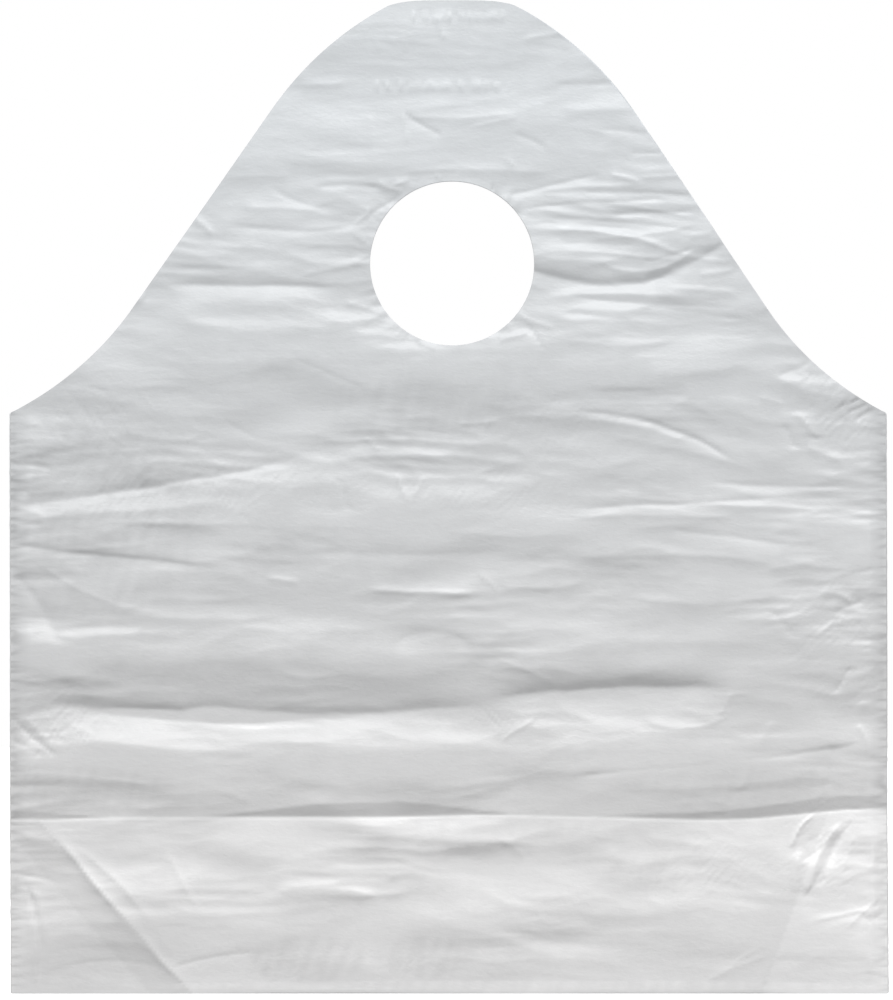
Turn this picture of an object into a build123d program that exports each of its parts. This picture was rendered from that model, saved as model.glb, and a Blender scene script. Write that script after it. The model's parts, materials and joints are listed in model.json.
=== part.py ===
"""Wave-top carry-out bag: a flat-folded plastic film bag with a bottom gusset and a round hand hole.

The bag is one extruded film tube, folded, welded down both sides and die-cut. It is drawn flat and
upright. +X is to the right, +Z is up towards the handles, and the front faces -Y. The origin is the
middle of the bottom fold. Each area between two creases is its own piece, because it turns on its own
when the bag is opened. Left and right are as seen from the front. Units are millimetres.
"""

import os

from build123d import *

# Driving dimensions of the flat bag
bag_width = 508.0  # 20 in, over the side welds
bag_height = 575.0  # bottom fold to the top of the wave
side_seam_height = 337.0  # bottom fold to the shoulder, where the side weld ends
gusset_depth = 102.0  # 4 in tuck, so the opened base is 8 in deep
hand_hole_radius = 47.5
hand_hole_height = 423.0  # hole centre above the bottom fold

# Film and folds
film = 0.065  # 65 micron (2.5 mil) low-density polyethylene
layer_pitch = 0.5  # film to film in the flat stack
crease_gap = 0.3  # from a fold's axis to the film on each side of it
weld_width = 1.2  # bead left by the hot side-weld knife
weld_gap = 0.8  # clearance at the open pivot, between the front film and the bead
fold_height = layer_pitch  # height of the bottom fold's axes above the bottom edge
grip_line = 480.0  # the band above the hand hole folds over the hand here
gusset_end_gap = 1.5  # from the side crease to the end of the gusset's middle part

# The wave-shaped top, right half, from the shoulder to the middle
shoulder = (bag_width / 2, side_seam_height)
flank_foot = (180.0, 402.0)
flank_head = (104.0, 512.0)
shoulder_dip = [(194.9, 382.0), (212.5, 364.3), (232.3, 349.2)]  # the concave curve down to the shoulder
shoulder_slope = 25.0  # degrees below level, where that curve meets the side weld
crown_corner = (30.0, 574.0)
crown_middle = (0.0, bag_height)
crown_radius = 160.0

# Places worked out from the above
front_y = -1.5 * layer_pitch
gusset_front_y = -0.5 * layer_pitch
gusset_back_y = 0.5 * layer_pitch
back_y = 1.5 * layer_pitch
side_crease = bag_width / 2 - gusset_depth  # where the side walls fold when the bag is squared open
stack_thickness = 3 * layer_pitch + film
gusset_foot = fold_height + crease_gap
gusset_top = fold_height + gusset_depth - crease_gap
back_edge = bag_width / 2 - weld_width  # the back film runs right up to the weld bead
front_edge = back_edge - weld_gap

os.makedirs("parts", exist_ok=True)


def film_plane(middle):
    """The plane that a film layer is drawn on, facing -Y. The layer's middle is at y = middle."""
    return Plane.XZ.offset(-(middle + film / 2))


def write(part, name):
    """Labels a finished piece and writes its STEP file."""
    part.label = name
    export_step(part, f"parts/{name}.step")


# The cut wall: straight sides up to the shoulders, then a wave-shaped top, with the hand hole through it
with BuildSketch() as cut_wall:
    with BuildLine():
        right_flank = Line(flank_foot, flank_head)
        right_shoulder = Spline(
            flank_foot,
            *shoulder_dip,
            shoulder,
            tangents=(-(right_flank % 0), Vector(1, 0).rotate(Axis.Z, -shoulder_slope)),
        )
        right_crown = RadiusArc(flank_head, crown_corner, -crown_radius)
        Line(crown_corner, crown_middle)
        Line(shoulder, (bag_width / 2, 0))
        Line((bag_width / 2, 0), (0, 0))
        mirror(about=Plane.YZ)
    make_face()
    with Locations((0, hand_hole_height)):
        Circle(hand_hole_radius, mode=Mode.SUBTRACT)

# Walls between the side creases, below the grip band
for name, layer_y in (("front_wall", front_y), ("back_wall", back_y)):
    with BuildPart() as wall:
        with BuildSketch(film_plane(layer_y)):
            add(cut_wall.sketch)
            Rectangle(
                2 * (side_crease - crease_gap),
                grip_line - crease_gap,
                align=(Align.CENTER, Align.MIN),
                mode=Mode.INTERSECT,
            )
        extrude(amount=film)
    write(wall.part, name)

# Grip bands, above the hand hole
for name, layer_y in (("front_grip_band", front_y), ("back_grip_band", back_y)):
    with BuildPart() as grip_band:
        with BuildSketch(film_plane(layer_y)):
            add(cut_wall.sketch)
            with Locations((0, grip_line + crease_gap)):
                Rectangle(
                    bag_width,
                    bag_height,
                    align=(Align.CENTER, Align.MIN),
                    mode=Mode.INTERSECT,
                )
        extrude(amount=film)
    write(grip_band.part, name)

# Side walls, from the side crease to the weld, and the gusset ends welded inside them
for side, hand in (("left", -1), ("right", 1)):
    for face, wall_y, gusset_y, edge in (
        ("front", front_y, gusset_front_y, front_edge),
        ("back", back_y, gusset_back_y, back_edge),
    ):
        inner = side_crease + crease_gap
        middle_x = hand * (inner + edge) / 2

        with BuildPart() as side_wall:
            with BuildSketch(film_plane(wall_y)):
                add(cut_wall.sketch)
                with Locations((middle_x, 0)):
                    Rectangle(
                        edge - inner,
                        bag_height,
                        align=(Align.CENTER, Align.MIN),
                        mode=Mode.INTERSECT,
                    )
            extrude(amount=film)
        write(side_wall.part, f"{face}_{side}_side_wall")

        with BuildPart() as gusset_end:
            with BuildSketch(film_plane(gusset_y)):
                with Locations((middle_x, gusset_foot)):
                    Rectangle(edge - inner, gusset_top - gusset_foot, align=(Align.CENTER, Align.MIN))
            extrude(amount=film)
        write(gusset_end.part, f"{face}_{side}_gusset_end")

# The two halves of the base gusset, folded up inside the bag
for name, layer_y in (("front_gusset", gusset_front_y), ("back_gusset", gusset_back_y)):
    with BuildPart() as gusset:
        with BuildSketch(film_plane(layer_y)):
            with Locations((0, gusset_foot)):
                Rectangle(
                    2 * (side_crease - gusset_end_gap),
                    gusset_top - gusset_foot,
                    align=(Align.CENTER, Align.MIN),
                )
        extrude(amount=film)
    write(gusset.part, name)

# Side welds: the bead that fuses all the layers, from the bottom fold to the shoulder
for side, hand in (("left", -1), ("right", 1)):
    with BuildPart() as side_weld:
        with BuildSketch(Plane.XY):
            with Locations((hand * (back_edge + weld_width / 2), 0)):
                Rectangle(weld_width, stack_thickness)
        extrude(amount=side_seam_height)
    write(side_weld.part, f"{side}_side_weld")
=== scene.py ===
"""Looks of the wave-top carry-out bag: wrinkled film walls, the folded gusset, side welds, light and camera.

Lengths are in millimetres until a mesh is made, which is in metres. x runs across the bag, z up it, and
y is its thickness. A wall's relief is how far its film stands out from the flat stack, away from the inside.
"""

import json

import bpy
import numpy as np
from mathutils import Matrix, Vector


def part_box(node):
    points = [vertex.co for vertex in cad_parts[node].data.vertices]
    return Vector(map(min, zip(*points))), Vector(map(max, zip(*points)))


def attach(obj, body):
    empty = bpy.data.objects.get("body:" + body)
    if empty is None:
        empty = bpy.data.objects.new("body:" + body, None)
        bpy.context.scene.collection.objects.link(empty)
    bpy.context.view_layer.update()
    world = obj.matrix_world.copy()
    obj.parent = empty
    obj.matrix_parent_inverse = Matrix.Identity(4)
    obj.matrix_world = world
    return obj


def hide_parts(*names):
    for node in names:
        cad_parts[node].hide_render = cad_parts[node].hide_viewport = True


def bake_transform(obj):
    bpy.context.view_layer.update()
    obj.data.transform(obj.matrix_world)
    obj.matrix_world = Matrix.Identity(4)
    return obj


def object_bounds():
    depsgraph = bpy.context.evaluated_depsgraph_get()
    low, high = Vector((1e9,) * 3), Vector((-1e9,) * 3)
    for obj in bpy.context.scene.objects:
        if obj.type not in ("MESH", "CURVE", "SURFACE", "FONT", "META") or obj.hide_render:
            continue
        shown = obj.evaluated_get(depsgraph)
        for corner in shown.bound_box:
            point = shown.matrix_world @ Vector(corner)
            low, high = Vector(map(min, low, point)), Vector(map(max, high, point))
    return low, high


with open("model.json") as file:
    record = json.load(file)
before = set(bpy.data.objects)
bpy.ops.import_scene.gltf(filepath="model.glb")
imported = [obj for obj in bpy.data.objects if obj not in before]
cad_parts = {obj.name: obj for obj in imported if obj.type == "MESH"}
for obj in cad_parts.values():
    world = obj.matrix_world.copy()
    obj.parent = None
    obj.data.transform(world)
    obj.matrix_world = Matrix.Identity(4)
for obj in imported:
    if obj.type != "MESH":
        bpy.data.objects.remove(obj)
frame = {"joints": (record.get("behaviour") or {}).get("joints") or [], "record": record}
cad_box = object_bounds()
MM = 0.001

# Sizes from the frame
low, high = (np.array(corner) / MM for corner in cad_box)
HALF_WIDTH = high[0]
TOP = high[2]
STACK_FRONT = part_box("front_wall")[0].y / MM  # outer face of the front film
CREASE_X = (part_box("front_wall")[1].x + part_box("front_right_side_wall")[0].x) / 2 / MM
JOINTS = {joint["name"]: joint for joint in frame["joints"]}
FRONT_FOLD = np.array(JOINTS["front_bottom_fold"]["pos_m"]) / MM
BACK_FOLD = np.array(JOINTS["base_unfold"]["pos_m"]) / MM
INNER_FOLD = np.array(JOINTS["gusset_middle_fold"]["pos_m"]) / MM
GUSSET_TOP = INNER_FOLD[2]
WELD_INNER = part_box("right_side_weld")[0].x / MM
SHOULDER_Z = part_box("right_side_weld")[1].z / MM
HOLE = frame["record"]["mounts"][0]
HOLE_Z, HOLE_R = HOLE["pos_m"][2] / MM, HOLE["dims"]["r_mm"]

# The sheet's grid, fine enough up the bag for creases that run across it
STEP_X = CREASE_X / 80
STEP_Z = 1.0


# ---------------------------------------------------------------- small helpers


def smooth(t):
    """0 to 1, easing in and out."""
    t = np.clip(t, 0.0, 1.0)
    return t * t * (3 - 2 * t)


def bump(value, centre, half_width):
    """A smooth bell, 1 at the centre and 0 past half_width."""
    return smooth(1 - np.abs(value - centre) / half_width)


def noise(x, z, seed):
    """Smooth gradient noise, about -0.7 to 0.7, with one cell per unit."""
    rng = np.random.default_rng(seed)
    angle = rng.uniform(0, 2 * np.pi, 256)
    order = rng.permutation(256)
    cell_x, cell_z = np.floor(x).astype(int), np.floor(z).astype(int)
    in_x, in_z = x - cell_x, z - cell_z

    def pull(step_x, step_z):
        at = angle[order[(order[(cell_x + step_x) % 256] + cell_z + step_z) % 256]]
        return np.cos(at) * (in_x - step_x) + np.sin(at) * (in_z - step_z)

    ease_x, ease_z = (t * t * t * (t * (t * 6 - 15) + 10) for t in (in_x, in_z))
    lower = pull(0, 0) + ease_x * (pull(1, 0) - pull(0, 0))
    upper = pull(0, 1) + ease_x * (pull(1, 1) - pull(0, 1))
    return lower + ease_z * (upper - lower)


def ridges(x, z, seed):
    """Noise folded into sharp ridges, 0 to 1."""
    return 1 - np.sqrt((2 * noise(x, z, seed)) ** 2 + 0.003)


# ---------------------------------------------------------------- the die-cut outline

FLANK_HEAD, FLANK_FOOT = (104.0, 512.0), (183.5, 397.0)
CROWN_R, SHOULDER_R = 190.0, 185.0
FLANK = np.subtract(FLANK_FOOT, FLANK_HEAD)
OUTWARD = np.array([-FLANK[1], FLANK[0]]) / np.hypot(*FLANK)
CROWN_MIDDLE = FLANK_HEAD - CROWN_R * OUTWARD
SHOULDER_MIDDLE = FLANK_FOOT + SHOULDER_R * OUTWARD
TOP_MIDDLE, TOP_REACH, TOP_DROP = 1.5, 29.5, 1.3  # the flat top: its middle, half width and fall at its ends
TOP_LIMIT = 1.6  # where the crown arcs have taken over, in TOP_REACHes
HOLE_X = 1.4  # the hole as cut is a little right of the middle
CUT_LEAN = 200.0  # height over which the cut of a wall drifts sideways by its cut_shift
FLANK_SLANT = 0.8  # turns sideways distance from the flank into distance square to it


def half_width(z):
    """Half the width of the cut wall: weld to weld, then shoulder arc, straight flank and crown arc."""
    straight = FLANK_HEAD[0] + (z - FLANK_HEAD[1]) * FLANK[0] / FLANK[1]
    dip = SHOULDER_MIDDLE[0] - np.sqrt(np.maximum(SHOULDER_R**2 - (z - SHOULDER_MIDDLE[1]) ** 2, 0))
    crown = CROWN_MIDDLE[0] + np.sqrt(np.maximum(CROWN_R**2 - (z - CROWN_MIDDLE[1]) ** 2, 0))
    wave = np.where(z > FLANK_HEAD[1], crown, np.where(z < FLANK_FOOT[1], dip, straight))
    return np.where(z < SHOULDER_Z, HALF_WIDTH, np.minimum(wave, HALF_WIDTH))


def crown_height(x):
    """Top of the wave: flat in the middle and rounded into the crown arcs at its ends."""
    return TOP - TOP_DROP * np.minimum(np.abs(x - TOP_MIDDLE) / TOP_REACH, TOP_LIMIT) ** 4


def inside(x, z, edge, cut_shift):
    """Distance in from the film's edge, negative outside it. edge is where the film stops at the welds."""
    above_weld = z > SHOULDER_Z
    side = np.where(above_weld, half_width(z), edge)
    shift = cut_shift * smooth((z - SHOULDER_Z) / CUT_LEAN)
    sideways = (side - np.abs(x - shift)) * np.where(above_weld, FLANK_SLANT, 1.0)
    from_hole = np.hypot(x - HOLE_X, z - HOLE_Z) - HOLE_R
    return np.minimum.reduce([sideways, crown_height(x) - z, from_hole])


# ---------------------------------------------------------------- relief of the film

# Creases seen one by one on the front. Each is the points it runs through, its height, and how far it
# spreads on its upper and lower sides, or right and left if it runs up the bag. Below 0 it is a groove.
FRONT_CREASES = [
    # lines on the hump
    (((-3, 551), (-7, 567)), 0.22, 1.6, 1.2), (((41, 552), (68, 557)), 0.2, 1.6, 1.6),
    (((-28, 511), (-16, 503), (-3, 496)), -0.28, 1.2, 2.4), (((-24, 490), (-28, 511)), 0.14, 1.2, 1.2),
    (((-44, 479), (-46, 511)), 0.12, 1.2, 1.2), (((-31, 508), (-1, 507), (43, 510)), 0.22, 2.2, 1.6),
    (((10, 501), (41, 508)), 0.18, 1.6, 1.6), (((36, 498), (47, 494), (57, 488)), -0.22, 1.2, 2.2),
    (((32, 484), (39, 479)), 0.16, 1.2, 1.4), (((-88, 525), (-59, 527)), 0.16, 2.6, 2.0),
    (((59, 526), (96, 527)), -0.22, 1.6, 2.6), (((-71, 514), (-42, 511), (10, 516)), 0.16, 4.0, 3.0),
    (((-104, 484), (-53, 479), (2, 483)), 0.22, 5.0, 3.0), (((85, 500), (117, 498)), -0.14, 1.4, 2.0),
    (((102, 486), (125, 487)), -0.2, 1.2, 1.6), (((-65, 540), (-19, 537), (51, 541)), 0.18, 4.0, 3.5),
    (((62, 513), (109, 511)), 0.22, 4.0, 3.0), (((-88, 494), (-33, 489)), -0.14, 3.0, 4.0),
    # round the top of the hand hole
    (((-80, 467), (-59, 468), (-37, 466)), -0.34, 1.4, 2.6),
    (((-105, 469), (-90, 459), (-65, 457)), -0.22, 2.0, 2.0),
    (((-42, 469), (-26, 464)), 0.35, 1.6, 1.6), (((-48, 450), (-26, 463)), -0.32, 1.8, 2.4),
    (((-33, 468), (-23, 471)), 0.3, 1.4, 1.4), (((-56, 445), (-46, 452)), 0.25, 1.6, 1.6),
    (((22, 471), (28, 460), (43, 453)), -0.45, 1.6, 2.8),
    (((30, 462), (54, 467), (88, 475)), -0.26, 1.4, 2.2), (((-8, 474), (-4, 471)), 0.2, 1.2, 1.2),
    (((-33, 476), (2, 477), (62, 476)), 0.28, 3.0, 2.4), (((-133, 472), (-88, 474)), 0.22, 3.0, 2.4),
    # right of the hand hole
    (((92, 475), (111, 470)), 0.36, 1.4, 1.4),
    (((45, 465), (117, 469)), 0.24, 1.4, 1.4),
    (((109, 472), (138, 474)), 0.24, 1.8, 1.4), (((32, 454), (68, 457), (133, 460)), -0.32, 1.2, 2.1),
    (((88, 451), (143, 453)), -0.32, 1.1, 1.9), (((48, 447), (109, 443)), -0.21, 1.1, 1.8),
    (((55, 442), (88, 441), (132, 429)), 0.48, 1.7, 1.6),
    (((51, 449), (85, 448), (155, 439)), -0.24, 1.1, 1.9),
    (((54, 458), (109, 455), (152, 447)), 0.24, 1.4, 1.3),
    (((60, 431), (97, 428), (138, 424)), 0.24, 1.2, 1.4),
    (((62, 405), (109, 400), (169, 398)), -0.28, 1.5, 2.4),
    (((71, 464), (109, 464), (148, 462)), -0.28, 1.1, 1.8),
    (((77, 437), (109, 439), (143, 445)), 0.21, 1.4, 1.1),
    (((120, 433), (143, 426), (168, 424)), 0.24, 1.5, 1.9), (((143, 416), (166, 419)), 0.28, 1.7, 1.8),
    (((109, 424), (125, 426), (143, 433)), -0.24, 1.2, 1.6), (((62, 435), (109, 433)), -0.21, 1.2, 1.6),
    (((51, 426), (101, 423)), 0.24, 2.2, 2.0), (((28, 427), (88, 411), (138, 419)), -1.04, 3.0, 8.0),
    (((109, 413), (138, 422), (164, 437)), -0.8, 3.4, 6.4),
    (((85, 424), (122, 420), (143, 431)), 0.32, 1.5, 1.9), (((138, 438), (153, 441)), 0.28, 1.7, 1.8),
    (((51, 402), (91, 406), (143, 402)), 0.4, 3.0, 2.8), (((114, 410), (169, 406)), 0.28, 2.2, 2.1),
    (((62, 395), (109, 389)), -0.19, 1.5, 1.9), (((109, 399), (178, 389)), -0.18, 1.7, 2.2),
    (((55, 372), (45, 389)), -0.24, 1.2, 1.8), (((39, 393), (62, 384)), 0.22, 1.2, 1.4),
    (((28, 378), (46, 383)), 0.34, 1.4, 1.4), (((55, 381), (85, 376), (132, 379)), 0.28, 2.5, 2.1),
    # left of the hand hole
    (((-130, 446), (-77, 442), (-50, 445)), -0.3, 1.5, 2.4),
    (((-163, 420), (-110, 419)), -0.24, 2.0, 2.6),
    (((-170, 411), (-56, 409)), -0.6, 2.2, 3.4),
    (((-149, 450), (-136, 440)), 0.35, 2.4, 2.4), (((-189, 397), (-175, 405)), 0.45, 2.4, 2.4),
    (((-88, 416), (-47, 424)), 0.26, 2.2, 2.0), (((-143, 433), (-94, 430)), 0.22, 2.4, 2.0),
    (((-94, 435), (-50, 433)), 0.22, 2.0, 1.6), (((-62, 401), (-35, 393)), 0.3, 2.2, 2.2),
    (((-163, 391), (-100, 384), (-42, 389)), 0.45, 5.0, 4.0),
    (((-123, 456), (-71, 453)), 0.26, 2.6, 2.0), (((-56, 439), (-47, 435)), 0.25, 1.4, 1.4),
    (((-58, 424), (-46, 427)), 0.22, 1.4, 1.4),
    # below the hand hole
    (((-140, 365), (2, 373)), 0.42, 4.5, 2.4),
    (((-97, 371), (-46, 349)), -0.22, 1.6, 2.4),
    (((16, 366), (28, 357), (43, 349)), 0.24, 2.2, 2.0), (((-19, 378), (-7, 373)), 0.25, 1.6, 1.6),
    (((-210, 351), (-197, 349)), -0.16, 1.0, 1.4),
    (((51, 364), (120, 359), (178, 364)), 0.38, 4.0, 3.5),
    (((2, 331), (16, 330), (30, 333)), 0.24, 1.4, 1.6), (((4, 328), (22, 330)), -0.14, 1.0, 1.2),
    (((-133, 334), (-111, 321)), -0.16, 1.6, 2.2),
    (((66, 336), (120, 330), (169, 306)), -0.5, 1.5, 2.6),
    (((71, 332), (109, 329), (143, 317)), 0.24, 1.2, 4.0),
    (((85, 323), (132, 316), (184, 301)), 0.35, 5.0, 3.0),
    (((-192, 329), (-169, 321), (-140, 325)), 0.26, 3.4, 2.6),
    (((-227, 321), (-198, 314)), -0.22, 3.0, 3.0), (((80, 350), (143, 346)), -0.22, 3.5, 4.5),
    # puckers under the right shoulder
    (((189, 358), (201, 362), (210, 366)), -0.22, 1.4, 2.0), (((201, 361), (208, 357)), 0.15, 1.6, 1.6),
    (((191, 353), (205, 356)), 0.12, 1.8, 1.8), (((225, 339), (241, 346)), -0.42, 1.2, 1.8),
    (((230, 336), (243, 342)), -0.36, 1.2, 1.6), (((235, 332), (246, 339)), -0.32, 1.2, 1.6),
    (((214, 321), (201, 338)), 0.45, 3.0, 3.0), (((201, 314), (193, 331)), -0.35, 3.0, 3.0),
    (((206, 317), (230, 308)), 0.4, 2.6, 3.0), (((178, 346), (195, 342)), 0.25, 2.0, 2.6),
    # fan of folds from the left weld
    (((-273, 281), (-175, 293), (-77, 312)), -1.1, 4.5, 6.5),
    (((-256, 277), (-192, 279), (-123, 287)), 0.4, 5.0, 4.0),
    (((-210, 284), (-152, 295), (-88, 305)), 0.22, 1.4, 3.0),
    (((-257, 306), (-244, 307), (-227, 303)), -0.3, 1.6, 2.4),
    (((-257, 298), (-239, 297)), 0.3, 1.6, 1.8), (((-257, 291), (-241, 290)), -0.35, 1.6, 2.0),
    (((-258, 283), (-234, 279)), 0.35, 1.6, 2.0), (((-257, 275), (-233, 272)), -0.3, 1.8, 2.2),
    (((-273, 262), (-209, 255), (-132, 247)), -0.8, 2.2, 6.5),
    (((-242, 254), (-213, 234), (-162, 221)), 0.18, 1.6, 2.0),
    (((-226, 199), (-241, 231), (-259, 250)), -0.55, 5.0, 5.0),
    (((-258, 222), (-239, 199), (-198, 176)), 0.3, 5.0, 4.0),
    (((-114, 269), (-120, 279)), -0.22, 1.4, 1.4), (((-198, 325), (-186, 317)), 0.2, 2.0, 2.0),
    (((-250, 332), (-236, 330)), 0.25, 2.0, 2.4),
    # long lines across the middle
    (((-204, 273), (-116, 272), (-11, 270)), 0.5, 3.0, 2.0),
    (((-11, 270), (28, 266), (68, 268)), 0.3, 2.4, 2.0),
    (((68, 281), (132, 284), (199, 288)), -0.36, 1.6, 2.2),
    (((68, 276), (109, 277), (169, 276)), 0.34, 2.0, 1.8), (((120, 270), (199, 260)), -0.24, 1.6, 2.0),
    (((62, 290), (120, 286), (247, 278)), 0.3, 2.6, 2.4),
    (((143, 298), (201, 294), (246, 295)), -0.26, 1.6, 2.2), (((190, 275), (246, 269)), 0.26, 1.8, 1.8),
    (((-71, 308), (-19, 312), (51, 305)), 0.5, 3.4, 3.4),
    (((-19, 276), (-27, 290), (-31, 303)), 0.32, 1.8, 1.8),
    (((-26, 279), (-19, 290), (-14, 301)), 0.26, 1.6, 1.6), (((-58, 279), (-65, 300)), -0.2, 2.2, 2.2),
    (((-51, 235), (-19, 233), (19, 232)), 0.55, 2.4, 1.8), (((-107, 241), (-86, 238)), 0.28, 1.8, 1.6),
    (((28, 236), (62, 235)), 0.24, 2.0, 1.6), (((62, 251), (143, 254), (195, 248)), 0.3, 3.5, 2.6),
    (((-88, 258), (-19, 254), (39, 257)), -0.26, 4.0, 4.0), (((183, 246), (214, 251)), 0.28, 2.0, 2.0),
    (((-204, 225), (-146, 217), (-88, 221)), 0.32, 5.0, 4.0),
    (((97, 232), (155, 226), (201, 234)), 0.3, 4.0, 3.0), (((16, 244), (28, 234)), 0.2, 1.8, 1.8),
    (((-41, 314), (-48, 323)), 0.22, 1.8, 1.8),
    # crumples by the right weld
    (((213, 230), (225, 232), (235, 225)), 0.45, 2.2, 2.2), (((222, 221), (241, 228)), -0.4, 2.2, 2.6),
    (((210, 207), (230, 217), (246, 216)), 0.45, 3.0, 3.0), (((223, 173), (233, 191)), -0.45, 2.4, 2.6),
    (((228, 182), (247, 189)), 0.35, 2.2, 2.4), (((235, 176), (249, 178)), -0.3, 1.6, 2.2),
    (((237, 168), (249, 170)), 0.3, 1.6, 2.0), (((201, 205), (184, 224)), -0.25, 3.0, 3.0),
    (((221, 258), (246, 254)), 0.3, 2.0, 2.2), (((230, 243), (247, 246)), -0.28, 2.0, 2.2),
    # the deep valley under the middle
    (((-250, 169), (-105, 161), (35, 168)), -1.9, 5.5, 14.0),
    (((16, 170), (85, 177), (172, 176)), -1.5, 5.0, 10.0),
    (((-192, 191), (-88, 194), (16, 189)), 0.5, 9.0, 12.0),
    (((-34, 202), (-11, 210), (15, 200)), -0.4, 4.0, 6.0),
    (((25, 195), (42, 189), (62, 180)), 0.18, 1.4, 1.6),
    (((62, 199), (132, 205), (201, 198)), 0.55, 8.0, 9.0),
    (((-166, 157), (-169, 166)), -0.35, 1.6, 1.6),
    (((-250, 205), (-221, 187), (-192, 184)), 0.5, 5.0, 5.0),
    (((28, 146), (39, 153), (51, 161)), 0.24, 1.4, 1.4), (((-1, 139), (25, 143)), 0.2, 1.4, 1.6),
    (((109, 161), (143, 155), (164, 163)), 0.35, 3.0, 3.0), (((156, 161), (164, 176)), 0.3, 2.6, 2.6),
    (((-239, 146), (-169, 143), (-71, 148)), 0.3, 6.0, 6.0),
    # between the valley and the gusset
    (((-256, 164), (-242, 150), (-225, 137)), -0.55, 1.8, 3.0),
    (((-227, 140), (-244, 160)), 0.35, 2.2, 2.4), (((-254, 148), (-234, 138)), -0.3, 1.8, 2.2),
    (((-252, 129), (-219, 127), (-164, 121)), 0.42, 1.3, 3.0),
    (((-148, 124), (-112, 111)), 0.2, 2.0, 2.4),
    (((68, 126), (166, 135)), -0.5, 1.8, 3.0),
    (((154, 134), (199, 139), (246, 147)), -0.4, 1.6, 3.0), (((166, 117), (176, 134)), 0.45, 3.4, 3.4),
    (((178, 140), (187, 159)), 0.35, 4.0, 4.0), (((-88, 140), (-71, 126), (-53, 118)), 0.24, 2.6, 2.6),
    (((-114, 136), (-88, 129), (-19, 132)), 0.4, 5.0, 5.0), (((219, 118), (224, 147)), -0.3, 3.0, 3.0),
    (((109, 118), (155, 121), (201, 126)), 0.35, 4.0, 4.0), (((247, 136), (236, 158)), 0.35, 2.4, 2.4),
    (((-19, 118), (39, 124)), 0.26, 5.0, 4.0),
    # left corner of the gusset
    (((-147, -1), (-196, 53), (-229, 95)), 0.8, 2.6, 2.4),
    (((-159, 19), (-180, 52), (-219, 88)), 0.4, 3.0, 2.6),
    (((-143, 45), (-153, 62), (-166, 85)), 0.26, 2.2, 2.6),
    (((-239, -1), (-237, 19), (-247, 69)), -0.6, 1.8, 3.0),
    (((-233, 1), (-232, 20), (-242, 66)), 0.3, 2.0, 2.0), (((-255, 71), (-229, 66)), -0.34, 1.4, 2.2),
    (((-255, 64), (-236, 57)), 0.3, 1.6, 2.0), (((-226, 16), (-196, 19), (-163, 16)), -0.22, 1.2, 1.6),
    (((-163, 15), (-140, 21), (-110, 25)), -0.32, 1.2, 1.8),
    (((-130, 38), (-112, 37), (-94, 35)), 0.3, 1.2, 1.6), (((-255, 32), (-247, 25)), 0.25, 1.6, 1.6),
    (((-250, 93), (-227, 88)), 0.26, 2.0, 2.4),
    # middle of the gusset
    (((-104, 61), (-51, 58), (-16, 60)), 0.5, 5.0, 2.4), (((-34, 64), (-31, 85)), 0.16, 2.0, 2.0),
    (((-117, 84), (-19, 77), (62, 86)), -0.55, 9.0, 11.0),
    (((-88, 33), (-1, 27), (97, 34)), -0.45, 8.0, 9.0),
    (((-13, 55), (51, 45), (120, 54)), 0.6, 9.0, 9.0), (((28, 91), (45, 80)), 0.22, 3.0, 3.0),
    (((109, 92), (155, 84)), 0.26, 4.0, 5.0), (((62, 26), (138, 20)), 0.3, 7.0, 6.0),
    # right corner of the gusset
    (((199, 58), (203, 86)), 0.42, 1.8, 2.0), (((206, 56), (212, 77), (216, 96)), 0.5, 2.0, 2.2),
    (((203, 52), (216, 73), (227, 96)), -0.4, 1.8, 2.2), (((228, 71), (234, 93)), 0.35, 2.4, 2.4),
    (((179, 1), (187, 22), (195, 43)), 0.45, 1.6, 1.8),
    (((140, 5), (241, 47)), 0.5, 1.6, 2.0),
    (((239, 45), (253, 52)), 0.5, 1.6, 1.6), (((241, 41), (253, 48)), -0.35, 1.4, 1.8),
    (((225, 66), (249, 74)), 0.3, 2.4, 2.4), (((201, 19), (250, 37)), 0.3, 3.0, 3.0),
    (((114, 55), (127, 49)), 0.2, 2.0, 2.0), (((252, 3), (250, 72), (247, 106)), -0.3, 1.4, 2.2),
    # along the bottom fold
    (((-227, 3), (247, 4)), 0.3, 2.4, 1.6),
    (((16, 16), (62, 21), (109, 16)), 0.2, 3.0, 3.0),
    # more strokes over the gusset
    (((-238, 1), (-241, 30), (-243, 56)), 0.7, 1.5, 1.5),
    (((-128, 38), (-112, 38.5), (-95, 35.5)), 0.55, 1.1, 1.1),
    (((206, 56), (214, 80), (229, 103)), 0.6, 2.2, 2.2),
    (((215, 60), (223, 84), (235, 104)), -0.35, 1.6, 1.6),
    (((198, 84), (203, 96), (212, 105)), 0.6, 1.3, 1.3),
    (((178, 1), (186, 18), (198, 42)), 0.9, 1.6, 1.6),
    (((157, 12), (193, 35), (252, 49)), 0.45, 1.1, 1.1),
    (((196, 22), (225, 36), (252, 60)), 0.5, 1.3, 1.3),
    (((243, 4), (245, 50), (247, 98)), 0.8, 1.8, 1.8), (((-62, 92), (0, 90), (60, 87)), 0.8, 8.0, 5.0),
    (((-104, 60), (-78, 60.5), (-40, 58)), 0.8, 2.6, 4.5),
    (((70, 48), (110, 46), (150, 52)), 0.5, 4.0, 3.0),
]
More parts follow.
